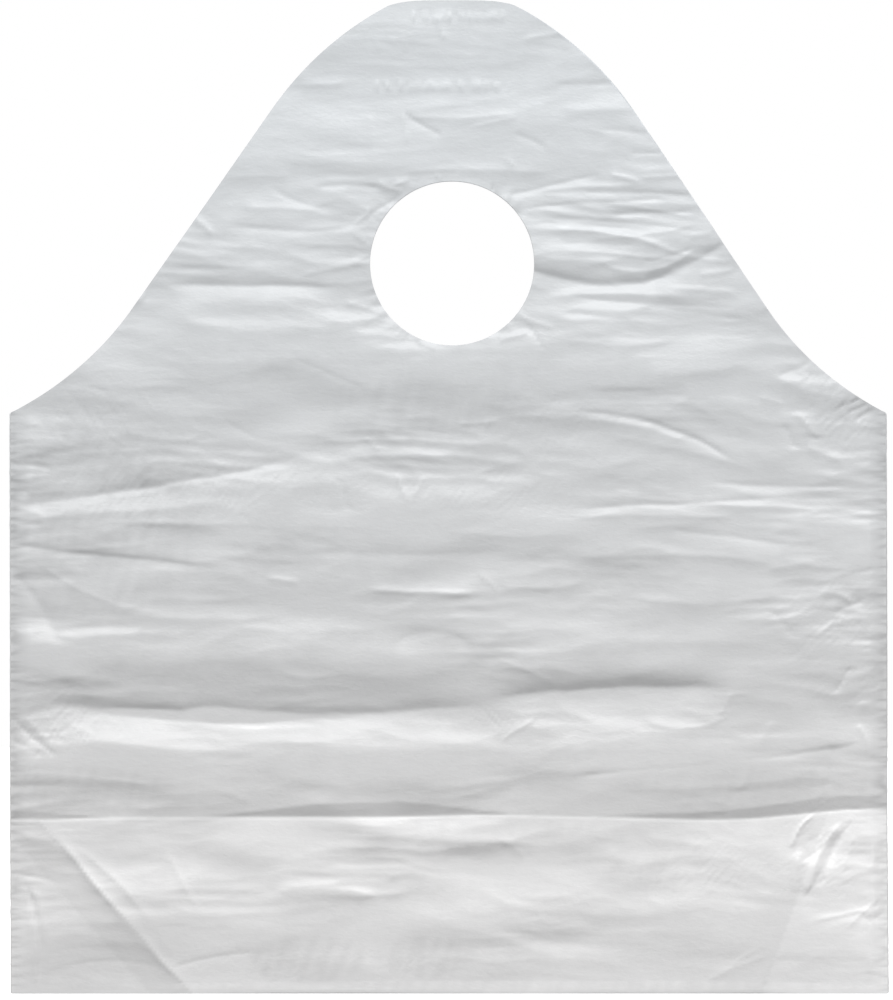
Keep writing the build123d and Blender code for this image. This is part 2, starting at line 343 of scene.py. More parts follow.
# The back isn't in the photo, so these are made up in the same manner
BACK_CREASES = [
    (((-160, 330), (-90, 326), (-30, 318)), 0.5, 3.0, 2.0),
    (((40, 300), (120, 304), (190, 316)), 0.5, 2.0, 3.0),
    (((-246, 252), (-170, 262), (-90, 262)), 0.7, 3.4, 3.0),
    (((70, 214), (160, 218), (246, 228)), 0.7, 4.0, 3.0),
    (((-200, 170), (-60, 178), (120, 172)), -1.2, 7.0, 11.0), (((30, 150), (170, 142)), -0.4, 2.2, 3.0),
    (((147, 0), (190, 44), (229, 94)), 0.7, 1.6, 1.6),
    (((-138, 0), (-180, 44), (-226, 60)), 0.55, 1.6, 2.0),
    (((52, 410), (96, 404), (150, 426)), -0.8, 5.0, 5.0),
    (((-168, 404), (-120, 402), (-60, 412)), -0.5, 2.2, 3.4),
    (((-134, 464), (-60, 468)), 0.3, 1.6, 2.0), (((34, 462), (66, 472), (96, 472)), 0.35, 1.8, 2.0),
    (((-20, 508), (14, 494)), -0.3, 1.4, 2.4), (((-60, 528), (0, 531), (70, 525)), 0.25, 2.0, 1.8),
    (((-230, 140), (-150, 128)), 0.4, 2.0, 3.0), (((90, 120), (180, 112), (244, 124)), 0.5, 2.4, 4.0),
    (((-60, 60), (20, 66), (90, 58)), 0.5, 6.0, 4.0), (((-90, 360), (0, 352), (90, 358)), 0.5, 5.0, 3.0),
    (((-240, 310), (-180, 300)), 0.4, 2.0, 3.0), (((180, 268), (246, 262)), 0.5, 2.6, 3.0),
]
# Where the film is crinkled finely on the slant: centre (x, z), reach (x, z), height, lean of the strokes
CRINKLES = [
    ((-150, 290), (85, 24), 0.10, 0.7),
    ((150, 74), (34, 14), 0.12, 0.9),
    ((15, 288), (62, 14), 0.08, 0.8),
    ((212, 78), (26, 30), 0.12, 1.4),
    ((-225, 150), (30, 22), 0.16, 0.8),
    ((28, 160), (26, 8), 0.09, -0.9),
    ((-205, 330), (50, 30), 0.07, -0.7),
    ((232, 345), (24, 30), 0.16, 0.9),
    ((-60, 14), (110, 13), 0.12, 1.6),
    ((-214, 146), (26, 20), 0.08, -0.8),
    ((60, 330), (60, 24), 0.06, 0.6),
    ((225, 210), (30, 40), 0.10, 1.0),
]
# Where the film is more crumpled than elsewhere, or less: centre (x, z), reach (x, z), how much more
CRUMPLED = [
    ((115, 428), (75, 42), 0.55),
    ((-70, 440), (60, 40), 0.35),
    ((225, 200), (40, 90), 0.7),
    ((-225, 180), (40, 60), 0.7),
    ((0, 515), (110, 45), -0.5),
    ((0, 60), (200, 40), 0.55),
    ((215, 60), (50, 50), 0.8),
    ((0, 300), (210, 60), 0.6),
    ((225, 330), (40, 40), 0.8),
]
# Patches where the layers cling together and look darker, or lie apart and look whiter: centre, reach, tone
STUCK = [
    ((-82, 20), (34, 14), -0.105),
    ((-13, 22), (27, 12), -0.085),
    ((-10, 55), (90, 16), 0.020),
    ((112, 70), (24, 10), -0.050),
    ((50, 5), (230, 3), 0.070),
    ((-215, 119), (60, 13), -0.060),
    ((-205, 270), (60, 62), -0.055),
    ((185, 122), (80, 11), -0.040),
    ((30, 96), (70, 5), 0.045),
    ((40, 84), (110, 9), -0.022),
    ((150, 72), (40, 18), -0.015),
    ((-15, 338), (60, 22), -0.045),
    ((-28, 205), (32, 9), -0.030),
    ((40, 148), (90, 9), -0.020),
    ((120, 300), (70, 20), -0.015),
    ((-90, 300), (50, 16), 0.015),
]
# Rows of short marks pressed in by the die near the top: first and last x, z, and mark length up the bag
TICK_ROWS = [(-26, 36, 565.5, 5.0), (-48, -20, 549.0, 6.0), (-50, 38, 525.5, 5.0)]
# Broad swells right across the bag: height up it, reach, how far they stand out, and tilt
SWELLS = [
    (546, 15, 0.35, 0.0),
    (500, 17, 0.35, 0.02),
    (468, 13, -0.30, 0.0),
    (434, 15, 0.45, -0.02),
    (404, 13, -0.35, 0.02),
    (363, 19, 0.95, -0.02),
    (318, 15, -0.50, 0.03),
    (271, 17, 0.85, -0.01),
    (224, 15, -0.55, 0.02),
    (192, 13, 0.65, -0.01),
    (165, 13, -0.75, 0.02),
    (136, 14, 1.60, 0.0),
    (74, 13, -0.75, 0.02),
    (34, 15, 0.65, 0.0),
]
# Facets above the gusset's fold: the points along the upper edge of each, as x and height over the fold
FACETS = [
    ((-140, 0), (-77, 7.5), (-30, 9.0), (36, 0)),
    ((82, 0), (166, 5.5), (216, 8.5), (262, 7)),
    ((-262, 6), (-226, 3), (-196, 0)),
]


CREASE_GAIN = 1.3


def crease(x, z, points, height, after, before):
    """A crease through two or three points: sharp along its line and fading out at its ends."""
    start, end = points[0], points[-1]
    runs_across = abs(end[0] - start[0]) >= abs(end[1] - start[1])
    along, side = (x, z) if runs_across else (z, x)
    if not runs_across:
        points = [point[::-1] for point in points]
    length = points[-1][0] - points[0][0]
    t = (along - points[0][0]) / length
    at = np.clip(t, 0, 1)
    line = points[0][1] + at * (points[-1][1] - points[0][1])
    if len(points) == 3:
        middle = (points[1][0] - points[0][0]) / length
        straight = points[0][1] + middle * (points[-1][1] - points[0][1])
        line = line + (points[1][1] - straight) * at * (1 - at) / (middle * (1 - middle))
    off = (side - line) / np.hypot(1, (points[-1][1] - points[0][1]) / length)
    reach = np.where(off > 0, after, before)
    taper = smooth(t / 0.2) * smooth((1 - t) / 0.2)
    return CREASE_GAIN * height * taper * np.exp(0.28 - np.sqrt((off / reach) ** 2 + 0.07))


def gusset_line(x):
    """Height of the tucked gusset's top fold as it shows through the wall, which isn't quite straight."""
    level = GUSSET_TOP + 0.6 + 1.4 * bump(x, 25, 70) - 1.4 * bump(x, 150, 60)
    return level + 5.0 * smooth((x - 170) / 80) - 1.3 * smooth((-x - 190) / 50)


def facet_height(x):
    """How far the dark facets reach over the gusset's fold."""
    return sum(np.interp(x, *zip(*points), left=0, right=0) for points in FACETS)


def skew(x, z):
    """How far the film has slid sideways: the wings lie a little to the left of the welds' true line."""
    wing = np.clip((np.abs(x) - CREASE_X) / (HALF_WIDTH - CREASE_X), 0, 1.05)
    slid = 0.6 * smooth((z - 5) / 115) + 0.3 * smooth((z - 180) / 150)
    right_more, left_less = 1.3, 0.7
    return -slid * wing * np.where(x > 0, right_more, left_less)


def puckers(x, z, seed):
    """Little pleats that the welds pull in, strongest at the weld."""
    from_weld = np.maximum(WELD_INNER - np.abs(x), 0)
    hand = np.sign(x)
    reach = 9 + 18 * (0.5 + noise(z / 31, hand * 3.5, seed))
    pleat = ridges(hand * 7.3 + x / 90, (z + 0.15 * np.abs(x)) / 8.5, seed + 1) - 0.55
    small = ridges(hand * 3.1 + x / 40, z / 4.4, seed + 2) - 0.55
    strength = 0.5 + 1.1 * np.clip(noise(z / 45, hand * 9.0, seed + 3) + 0.3, 0, 1)
    beside = smooth((SHOULDER_Z + 4 - z) / 14)
    return strength * beside * np.exp(-from_weld / reach) * (0.66 * pleat + 0.36 * small)


def hole_crumples(x, z, seed):
    """Short creases that run out from the rim of the hand hole."""
    around = np.arctan2(z - HOLE_Z, x)
    out = np.hypot(x, z - HOLE_Z) - HOLE_R
    rays = ridges(np.cos(around) * 3.4 + out / 50, np.sin(around) * 6.7, seed) - 0.5
    fine = ridges(np.cos(around) * 9.0 + out / 25, np.sin(around) * 15, seed + 1) - 0.5
    return (0.34 * rays + 0.12 * fine) * np.exp(-np.maximum(out, 0) / 9)


def relief(x, z, creases, seed):
    """How far the film stands out from the stack, before it is brought down at its fold and welds."""
    bent_x = x + 9 * noise(x / 60, z / 40, seed) + 3 * noise(x / 17, z / 13, seed + 1)
    bent_z = z + 0.10 * x * noise(x / 300, z / 90, seed + 2) + 6 * noise(x / 95, z / 55, seed + 3)
    bent_z = bent_z + 1.6 * noise(x / 26, z / 20, seed + 4)
    rough = np.ones_like(x)
    for (centre_x, centre_z), (reach_x, reach_z), more in CRUMPLED:
        rough += more * np.exp(-(((x - centre_x) / reach_x) ** 2) - ((z - centre_z) / reach_z) ** 2)
    made = 1.35 * noise(bent_x / 130 + 3, bent_z / 46, seed + 5)
    made += rough * 0.90 * noise(bent_x / 56, bent_z / 23, seed + 6)
    patch = smooth(0.5 + 1.3 * noise(x / 95, z / 40, seed + 7))
    other = smooth(0.5 + 1.5 * noise(x / 60, z / 33, seed + 8))
    crumple = (0.2 + patch) * 0.52 * ridges(bent_x / 62, bent_z / 21, seed + 9)
    crumple += other * 0.24 * ridges(bent_x / 33, bent_z / 11, seed + 10)
    crumple += (0.1 + patch) * 0.07 * ridges(bent_x / 19, bent_z / 6.2, seed + 11)
    crumple += other * 0.03 * noise(bent_x / 9, bent_z / 4, seed + 12)
    crumple += patch * other * 0.24 * ridges(bent_x / 130, bent_z / 6.8, seed + 13)
    made += rough * crumple
    for height, reach, amount, tilt in SWELLS:
        wander = height + tilt * x + 9 * noise(x / 105, x * 0 + height, seed + 14)
        uneven = 1 + 1.1 * noise(x / 90, x * 0 + height + 0.5, seed + 15)
        made += amount * uneven * np.exp(-(((z - wander) / reach) ** 2))

    line_x = x + 1.1 * noise(x / 22, z / 22, seed + 16)
    line_z = z + 1.1 * noise(x / 30, z / 22, seed + 17) + 0.4 * noise(x / 8, z / 8, seed + 18)
    for points, height, after, before in creases:
        made += crease(line_x, line_z, points, height, after, before)
    for (centre_x, centre_z), (reach_x, reach_z), amount, stroke in CRINKLES:
        near = np.exp(-(((x - centre_x) / reach_x) ** 2) - ((z - centre_z) / reach_z) ** 2)
        marks = ridges((line_x - stroke * z) / 5.5, (line_z + stroke * x) / 17, seed + 19)
        made += near * amount * 1.8 * marks
    made += puckers(x, z, seed + 21) + hole_crumples(x, z, seed + 31)

    # at the tucked gusset's fold: the wall falls back in flat facets over it, then comes out onto it
    above = z - gusset_line(x)
    facet = facet_height(x)
    fall = np.where(above > 0, np.clip(facet - above, 0, None), facet * np.exp(above / 12))
    return made - 0.15 * fall + 0.20 * smooth(-above / 1.6)


def ticks(x, z):
    """The rows of short upright marks near the top."""
    made = np.zeros_like(x)
    for first, last, height, length in TICK_ROWS:
        row = bump(z, height, length) * smooth((x - first) / 6) * smooth((last - x) / 6)
        made += row * 0.6 * np.maximum(ridges(x / 7.0, z / 40, 90) - 0.4, 0)
    return made


LEAST_RELIEF, MOST_RELIEF, SPARE_RELIEF = 0.15, 3.6, 0.8
RELIEF_AT_FOLD, RELIEF_AT_WELD = 0.32, 0.3  # shares of the relief that are left at the fold and the welds


def settle(x, z, made):
    """Brings the relief down to the stack at the bottom fold and the welds, and keeps it above the stack."""
    least, most, spare = LEAST_RELIEF, MOST_RELIEF, SPARE_RELIEF
    made = made - np.percentile(made, 0.3)
    made = np.where(made > least, made, least * np.exp((made - least) / least))
    made = np.where(made < most, made, most + spare * np.tanh((made - most) / spare))
    made = made * (RELIEF_AT_FOLD + (1 - RELIEF_AT_FOLD) * smooth((z + 20) / 110))
    held = smooth((z - FRONT_FOLD[2] + 0.8) / 4.5)
    at_weld = np.clip((WELD_INNER - np.abs(x)) / 9, 0, 1) ** 0.8
    free = smooth((z - SHOULDER_Z + 6) / 26)
    return made * held * (RELIEF_AT_WELD + (1 - RELIEF_AT_WELD) * np.maximum(at_weld, free))


GUSSET_WHITER, FACET_PAINTED_SHADE, CORNER_DARKER, PLEAT_PAINTED_SHADE = 0.190, 0.085, 0.135, 0.20


def film_tone_and_shade(x, z, seed):
    """How white the film looks: whiter over the gusset's extra layers, greyer where layers lie apart, with
    painted shade on the facets over the gusset's fold and in the pleats beside the welds.
    """
    line = gusset_line(x)
    over_gusset = smooth((line - z) / 1.0)
    tone = 0.918 + 0.045 * smooth((z - 380) / 90) - 0.030 * smooth((z - 200) / 260)
    tone += GUSSET_WHITER * over_gusset - 0.035 * bump(z, 315, 60)
    # painted shade: the facets that fall back over the gusset's fold are darkened in the colour
    tone -= FACET_PAINTED_SHADE * smooth((facet_height(x) - (z - line)) / 1.2) * (1 - over_gusset)
    tone += 0.035 * bump(z, 125, 30) - 0.045 * bump(z, 190, 50)
    tone += 0.045 * noise(x / 120, z / 40, seed) + 0.030 * noise(x / 45, z / 16, seed + 1)
    cloud = noise(x / 9, z / 7, seed + 2) + 0.6 * noise(x / 3.4, z / 2.8, seed + 3)
    tone += 0.022 * cloud * (0.4 + smooth(0.5 + 1.4 * noise(x / 70, z / 40, seed + 4)))
    for (centre_x, centre_z), (reach_x, reach_z), amount in STUCK:
        strokes = 0.75 + noise((x - 0.25 * z) / 5, z / 22, seed + 5)
        near = np.exp(-(((x - centre_x) / reach_x) ** 2) - ((z - centre_z) / reach_z) ** 2)
        tone += amount * strokes * smooth(near * 3 - 0.6)
    # painted shade: the pleats pulled in beside the welds are darkened in the colour
    pleat_shade = smooth((ridges(np.sign(x) * 5.7 + x / 30, z / 5.5, seed + 6) - 0.62) / 0.3)
    beside_weld = np.exp(-((np.maximum(HALF_WIDTH - np.abs(x), 0) / 5.5) ** 2)) * (z < SHOULDER_Z)
    tone -= PLEAT_PAINTED_SHADE * pleat_shade * beside_weld
    # the gusset's folded corners: darker to the left of the left one, whiter to the right of the right one
    corner = smooth((-1.14 * (x + 148) - z) / 1.5) - 0.5 * smooth((-1.14 * (x + 172) - z) / 2.0)
    corner -= 0.6 * smooth((2.7 * (x - 180) - z) / 2.0)
    return tone - CORNER_DARKER * corner * over_gusset


# ---------------------------------------------------------------- meshes


SLOPE_GAIN = 1.22  # the relief is lit as if it were this much steeper than its mesh, for more contrast
SNAP = 0.38  # grid points closer than this to the edge are moved onto it, so no cell is cut to a sliver
BEYOND = 4.0  # how far the grid goes past the edge at each side


class Wall:
    """One wall's relief on the whole grid, from which its pieces are cut."""

    def __init__(self, side, creases, edge, cut_shift, seed):
        self.side = side
        columns = int(np.ceil((HALF_WIDTH + BEYOND) / STEP_X))
        self.xs = np.arange(-columns, columns + 1) * STEP_X
        self.zs = FRONT_FOLD[2] + np.arange(int((TOP + 3) / STEP_Z)) * STEP_Z
        x, z = np.meshgrid(self.xs, self.zs, indexing="ij")
        made = relief(x, z, creases, seed)
        if side < 0:
            made += ticks(x, z)
        self.height = settle(x, z, made)
        self.tone = film_tone_and_shade(x, z, seed + 50)
        slopes = np.gradient(self.height, STEP_X, STEP_Z)
        self.slope_x, self.slope_z = (SLOPE_GAIN * slope for slope in slopes)
        self.slope_z *= smooth((z - 3) / 5)  # the fold itself is pressed flat

        def edge_distance(px, pz):
            return inside(px, pz, edge, cut_shift)

        self.edge_distance = edge_distance
        within = edge_distance(x, z)
        close = np.abs(within) < SNAP
        probe = 0.05
        grow_x = (edge_distance(x + probe, z) - edge_distance(x - probe, z)) / (2 * probe)
        grow_z = (edge_distance(x, z + probe) - edge_distance(x, z - probe)) / (2 * probe)
        steep = np.maximum(grow_x**2 + grow_z**2, 0.2)
        self.x = np.where(close, x - within * grow_x / steep, x)
        self.z = np.where(close, z - within * grow_z / steep, z)
        self.within = np.where(close, 0.0, within)

    def sample(self, field, x, z):
        """field at any point, between the grid's values."""
        at_x = np.clip((x - self.xs[0]) / STEP_X, 0, len(self.xs) - 1.001)
        at_z = np.clip((z - self.zs[0]) / STEP_Z, 0, len(self.zs) - 1.001)
        i, j = at_x.astype(int), at_z.astype(int)
        u, v = at_x - i, at_z - j
        lower = field[i, j] * (1 - u) + field[i + 1, j] * u
        upper = field[i, j + 1] * (1 - u) + field[i + 1, j + 1] * u
        return lower * (1 - v) + upper * v

    def cut(self, first_x, last_x):
        """Flat points and faces of the film between two upright lines, trimmed to the outline."""
        columns, rows = self.x.shape
        first = max(int(round((first_x - self.xs[0]) / STEP_X)), 0)
        last = min(int(round((last_x - self.xs[0]) / STEP_X)), columns - 1)
        solid = self.within >= 0
        count = solid[:-1, :-1].astype(int) + solid[1:, :-1] + solid[1:, 1:] + solid[:-1, 1:]
        i, j = np.nonzero(count[first:last] == 4)
        corner = (i + first) * rows + j
        whole = np.column_stack([corner, corner + rows, corner + rows + 1, corner + 1])
        points = list(zip(self.x.ravel(), self.z.ravel()))
        crossings, parts = {}, []

        def crossing(a, b):
            """The point where the edge of the film cuts the side of a cell."""
            key = (min(a, b), max(a, b))
            if key not in crossings:
                inner, outer = key if self.within[key[0]] > 0 else key[::-1]
                kept, lost = (np.array((self.x[k], self.z[k])) for k in (inner, outer))
                for _ in range(12):
                    middle = (kept + lost) / 2
                    kept, lost = (middle, lost) if self.edge_distance(*middle) > 0 else (kept, middle)
                crossings[key] = len(points)
                points.append(tuple(kept))
            return crossings[key]

        for i, j in zip(*np.nonzero((count[first:last] > 0) & (count[first:last] < 4))):
            i += first
            ring = [(i, j), (i + 1, j), (i + 1, j + 1), (i, j + 1)]
            part = []
            for a, b in zip(ring, ring[1:] + ring[:1]):
                if solid[a]:
                    part.append(a[0] * rows + a[1])
                if solid[a] != solid[b] and self.within[a] != 0 and self.within[b] != 0:
                    part.append(crossing(a, b))
            if len(part) > 2:
                parts.append(part)
        used = np.unique(np.concatenate([whole.ravel(), np.concatenate(parts)]).astype(int))
        renumber = np.zeros(len(points), dtype=int)
        renumber[used] = np.arange(len(used))
        faces = renumber[whole].tolist() + [renumber[part].tolist() for part in parts]
        return np.array(points)[used], faces


def film_object(name, points, faces, normals=None, tone=None, material=None):
    """A mesh object from points in millimetres, with flat UVs in tenths of a metre."""
    mesh = bpy.data.meshes.new(name)
    placed = points + np.column_stack([skew(points[:, 0], points[:, 2]), np.zeros((len(points), 2))])
    mesh.from_pydata((placed * MM).tolist(), [], faces)
    mesh.shade_smooth()
    corner_points = np.empty(len(mesh.loops), dtype=np.int32)
    mesh.loops.foreach_get("vertex_index", corner_points)
    flat = mesh.uv_layers.new(name="flat")
    flat.data.foreach_set("uv", (points[corner_points][:, [0, 2]] / 100).astype(np.float32).ravel())
    whiteness = mesh.attributes.new("tone", "FLOAT", "POINT")
    values = np.ones(len(points)) if tone is None else tone
    whiteness.data.foreach_set("value", values.astype(np.float32))
    if normals is not None:
        mesh.normals_split_custom_set_from_vertices(normals.tolist())
    mesh.materials.append(material)
    made = bpy.data.objects.new(name, mesh)
    bpy.context.scene.collection.objects.link(made)
    return made


def flat_area(made):
    """Area of the film as cut, in square metres: its faces as seen square on."""
    faces = made.data.polygons
    area, normal = np.empty(len(faces)), np.empty(3 * len(faces))
    faces.foreach_get("area", area)
    faces.foreach_get("normal", normal)
    return float(np.sum(area * np.abs(normal[1::3])))


def wall_piece(wall, name, first_x, last_x, material):
    """One upright strip of a wall as an object, with its flat area."""
    flat, faces = wall.cut(first_x, last_x)
    x, z = flat.T
    depth = abs(STACK_FRONT) + wall.sample(wall.height, x, z)
    fold = z < FRONT_FOLD[2] + 0.01
    depth[fold] = abs(FRONT_FOLD[1])
    slope_x, slope_z = (wall.sample(s, x, z) for s in (wall.slope_x, wall.slope_z))
    points = np.column_stack([x, wall.side * depth, z])
    normals = np.column_stack([-slope_x, np.full(len(x), float(wall.side)), -slope_z])
    normals /= np.linalg.norm(normals, axis=1)[:, None]
    if wall.side > 0:
        faces = [face[::-1] for face in faces]
    tone = wall.sample(wall.tone, x, z)
    made = film_object(name, points, faces, normals, tone, material)
    return made, flat_area(made)


# ---------------------------------------------------------------- materials


def node(tree, kind, inputs=(), **settings):
    """A shader node with its settings, its inputs given by name as values or sockets."""
    made = tree.nodes.new(kind)
    for key, value in settings.items():
        setattr(made, key, value)
    for key, value in dict(inputs).items():
        if isinstance(value, bpy.types.NodeSocket):
            tree.links.new(value, made.inputs[key])
        else:
            made.inputs[key].default_value = value
    return made


GLOSS_SPREAD = 0.07  # how far the roughness strays either way
HAIR_DEPTH = 0.28
COOL_FROM, COOL_TO = 0.9, 5.2  # heights, in tenths of a metre, between which the film turns cooler


def film_material(name, cool, warm, roughness, crinkle):
    """White polythene film: cloudy whiteness, streaked gloss and a fine crinkle along the bag's width."""
    material = bpy.data.materials.new(name)
    material.use_nodes = True
    tree = material.node_tree
    tree.nodes.clear()
    output = node(tree, "ShaderNodeOutputMaterial")
    shader = node(tree, "ShaderNodeBsdfPrincipled", {"IOR": 1.5})
    tree.links.new(shader.outputs["BSDF"], output.inputs["Surface"])
    flat = node(tree, "ShaderNodeUVMap", uv_map="flat").outputs["UV"]

    def texture(scale, detail, distortion=0.0):
        place = node(tree, "ShaderNodeMapping", {"Vector": flat, "Scale": scale})
        made = node(
            tree,
            "ShaderNodeTexNoise",
            {"Vector": place.outputs[0], "Scale": 1.0, "Detail": detail, "Distortion": distortion},
        )
        return made.outputs["Fac"]

    def spread(value, low_end, high_end, low=0.3, high=0.7):
        """value from low to high stretched over low_end to high_end."""
        ends = {"From Min": low, "From Max": high, "To Min": low_end, "To Max": high_end}
        return node(tree, "ShaderNodeMapRange", {"Value": value, **ends}).outputs["Result"]

    def maths(first, second, operation="MULTIPLY"):
        return node(tree, "ShaderNodeMath", {0: first, 1: second}, operation=operation).outputs[0]

    # colour: the sheet's tone with its painted shade, thin clouds in the film and faint streaks across
    tone = node(tree, "ShaderNodeAttribute", attribute_name="tone").outputs["Fac"]
    clouds = spread(texture((1.4, 2.6, 1.0), 3.0), 0.975, 1.025)
    streaks = spread(texture((1.4, 16.0, 1.0), 3.0, 0.4), 0.99, 1.01)
    shade = maths(maths(clouds, streaks), tone)
    split = node(tree, "ShaderNodeSeparateXYZ", {"Vector": flat})
    up = spread(split.outputs["Y"], 0.0, 1.0, COOL_FROM, COOL_TO)
    tint = node(tree, "ShaderNodeMix", {"Factor": up, "A": warm, "B": cool}, data_type="RGBA")
    shaded = {0: tint.outputs["Result"], "Scale": shade}
    colour = node(tree, "ShaderNodeVectorMath", shaded, operation="SCALE")
    tree.links.new(colour.outputs["Vector"], shader.inputs["Base Color"])

    # gloss: rubbed duller and shinier in streaks
    rubbed = spread(texture((2.2, 14.0, 1.0), 3.0), roughness - GLOSS_SPREAD, roughness + GLOSS_SPREAD)
    tree.links.new(rubbed, shader.inputs["Roughness"])

    # fine crinkle all over
    fine = texture((30.0, 52.0, 1.0), 3.0, 0.5)
    soft = texture((7.0, 22.0, 1.0), 2.0, 0.5)
    grain = node(tree, "ShaderNodeMix", {"Factor": 0.55, "A": soft, "B": fine}, data_type="FLOAT")
    bumpy = {"Height": grain.outputs["Result"], "Strength": 1.0, "Distance": crinkle * MM}
    crinkled = node(tree, "ShaderNodeBump", bumpy).outputs["Normal"]

    # hair-thin sharp creases in patches, long across the bag
    place = node(tree, "ShaderNodeMapping", {"Vector": flat, "Scale": (1.0, 5.0, 1.0)})
    bend = node(tree, "ShaderNodeTexNoise", {"Vector": flat, "Scale": 1.9, "Detail": 2.0})
    bent = {0: place.outputs[0], 1: bend.outputs["Color"]}
    warped = node(tree, "ShaderNodeVectorMath", bent, operation="ADD")
    hairs = node(
        tree,
        "ShaderNodeTexNoise",
        {"Vector": warped.outputs[0], "Scale": 1.0, "Detail": 3.0, "Roughness": 0.5},
        noise_type="RIDGED_MULTIFRACTAL",
        normalize=False,
    ).outputs["Fac"]
    where = spread(texture((1.6, 3.4, 1.0), 2.0), 0.0, 1.0)
    hairs = maths(hairs, where)
    raised = {"Height": hairs, "Normal": crinkled, "Strength": 1.0, "Distance": HAIR_DEPTH * MM}
    creased = node(tree, "ShaderNodeBump", raised)
    tree.links.new(creased.outputs["Normal"], shader.inputs["Normal"])
    return material


# ---------------------------------------------------------------- build the pieces

WHITE_COOL = (0.690, 0.717, 0.738, 1.0)
WHITE_WARM = (0.719, 0.717, 0.718, 1.0)
film = film_material("polythene_film", WHITE_COOL, WHITE_WARM, 0.34, 0.16)
gusset_film = film_material("gusset_film", WHITE_WARM, WHITE_WARM, 0.38, 0.9)
weld_film = film_material("weld_film", WHITE_COOL, WHITE_WARM, 0.30, 0.3)


INTO_WELD = 0.6  # how far the walls' film runs into the weld beads


def build_wall(face, side, creases, cut_shift, seed):
    """The three strips of a wall, split at the side creases."""
    edge = WELD_INNER + INTO_WELD
    wall = Wall(side, creases, edge, cut_shift, seed)
    centre, area = wall_piece(wall, f"{face}_film_centre", -CREASE_X, CREASE_X, film)
    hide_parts(f"{face}_wall", f"{face}_grip_band")
    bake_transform(centre)
    for hand, sign in (("left", -1), ("right", 1)):
        reach = sorted((sign * CREASE_X, sign * (HALF_WIDTH + BEYOND)))
        wing, area = wall_piece(wall, f"{face}_film_{hand}", *reach, film)
        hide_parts(f"{face}_{hand}_side_wall")
        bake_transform(wing)



OVER_FOLD, UNDER_TOP = 0.15, 0.1  # gaps between a gusset layer's film and its two folds
BESIDE_CREASE = (0.4, 0.3)  # gaps at a side crease, on the gusset's middle and on its end
BESIDE_WELD = 1.2


def gusset_grid(first_x, last_x, fold, seed):
    """Points and faces of a gusset layer from its bottom fold up to the fold inside the bag."""
    xs = np.linspace(first_x, last_x, max(12, int((last_x - first_x) / 2.5)))
    zs = np.linspace(fold[2] + OVER_FOLD, GUSSET_TOP - UNDER_TOP, 60)
    x, z = np.meshgrid(xs, zs, indexing="ij")
    way = np.sign(fold[1])
    t = (z - zs[0]) / (zs[-1] - zs[0])
    held = smooth(t / 0.04) * smooth((1 - t) / 0.04)
    waves = 0.16 * noise(x / 60, z / 14, seed) + 0.05 * noise(x / 14, z / 6, seed + 1)
    layer = sum(corner.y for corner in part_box("back_gusset")) / 2 / MM
    y = way * (layer * held + np.abs(fold[1]) * (1 - held) * (1 - t) + waves * held)
    points = np.column_stack([x.ravel(), y.ravel(), z.ravel()])
    rows, across = len(zs), len(xs)
    faces = [
        [i * rows + j, (i + 1) * rows + j, (i + 1) * rows + j + 1, i * rows + j + 1]
        for i in range(across - 1)
        for j in range(rows - 1)
    ]
    return points, faces


def build_gusset():
    """Two gusset halves, each with an end on either side that stays with the side wall."""
    for face, fold, seed in (("front", FRONT_FOLD, 301), ("back", BACK_FOLD, 311)):
        reach = CREASE_X - BESIDE_CREASE[0]
        layer = film_object(
            f"{face}_gusset_film", *gusset_grid(-reach, reach, fold, seed), material=gusset_film
        )
        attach(layer, f"{face}_gusset_half")
        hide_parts(f"{face}_gusset")
        for hand, sign in (("left", -1), ("right", 1)):
            ends = sorted((sign * (CREASE_X + BESIDE_CREASE[1]), sign * (WELD_INNER - BESIDE_WELD)))
            end = film_object(
                f"{face}_gusset_end_{hand}", *gusset_grid(*ends, fold, seed + 3), material=gusset_film
            )
            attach(end, f"{face}_{hand}_side")
            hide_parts(f"{face}_{hand}_gusset_end")


BEAD_WIDTH, BEAD_DEPTH = 0.62, 0.80  # half sizes of a weld bead


def build_weld(hand, sign):
    """The bead left by the hot knife: a lumpy ridge that all the layers end in."""
    sides, rows = 12, 420
    zs = np.linspace(0.6, SHOULDER_Z - 0.4, rows)
    around = np.linspace(0, 2 * np.pi, sides, endpoint=False)
    z, angle = np.meshgrid(zs, around, indexing="ij")
    lump = 1 + 0.28 * noise(z / 5.0, angle * 0 + sign, 401) + 0.2 * noise(z / 1.9, angle * 0, 402)
    end = np.sqrt(np.clip(np.minimum(z - zs[0], zs[-1] - z) / 0.8, 0.02, 1))
    middle = sign * (WELD_INNER + HALF_WIDTH) / 2 + 0.18 * noise(z / 11, angle * 0, 403 + sign)
    x = middle + BEAD_WIDTH * lump * end * np.cos(angle)
    y = BEAD_DEPTH * lump * end * np.sin(angle) + 0.12 * noise(z / 9, angle * 0, 405 + sign)
    points = np.column_stack([x.ravel(), y.ravel(), z.ravel()])
    faces = [
        [i * sides + j, i * sides + (j + 1) % sides, (i + 1) * sides + (j + 1) % sides, (i + 1) * sides + j]
        for i in range(rows - 1)
        for j in range(sides)
    ]
    faces += [list(range(sides))[::-1], list(range((rows - 1) * sides, rows * sides))]
    bead = film_object(f"{hand}_weld_bead", points, faces, material=weld_film)
    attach(bead, f"back_{hand}_side")
    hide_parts(f"{hand}_side_weld")


FRONT_SHIFT, BACK_SHIFT = 1.2, 2.4  # how far to the right each wall's hump drifts as it is cut
build_wall("front", -1, FRONT_CREASES, FRONT_SHIFT, 11)
build_wall("back", 1, BACK_CREASES, BACK_SHIFT, 211)
build_gusset()
build_weld("left", -1)
build_weld("right", 1)


# ---------------------------------------------------------------- stage, light and camera


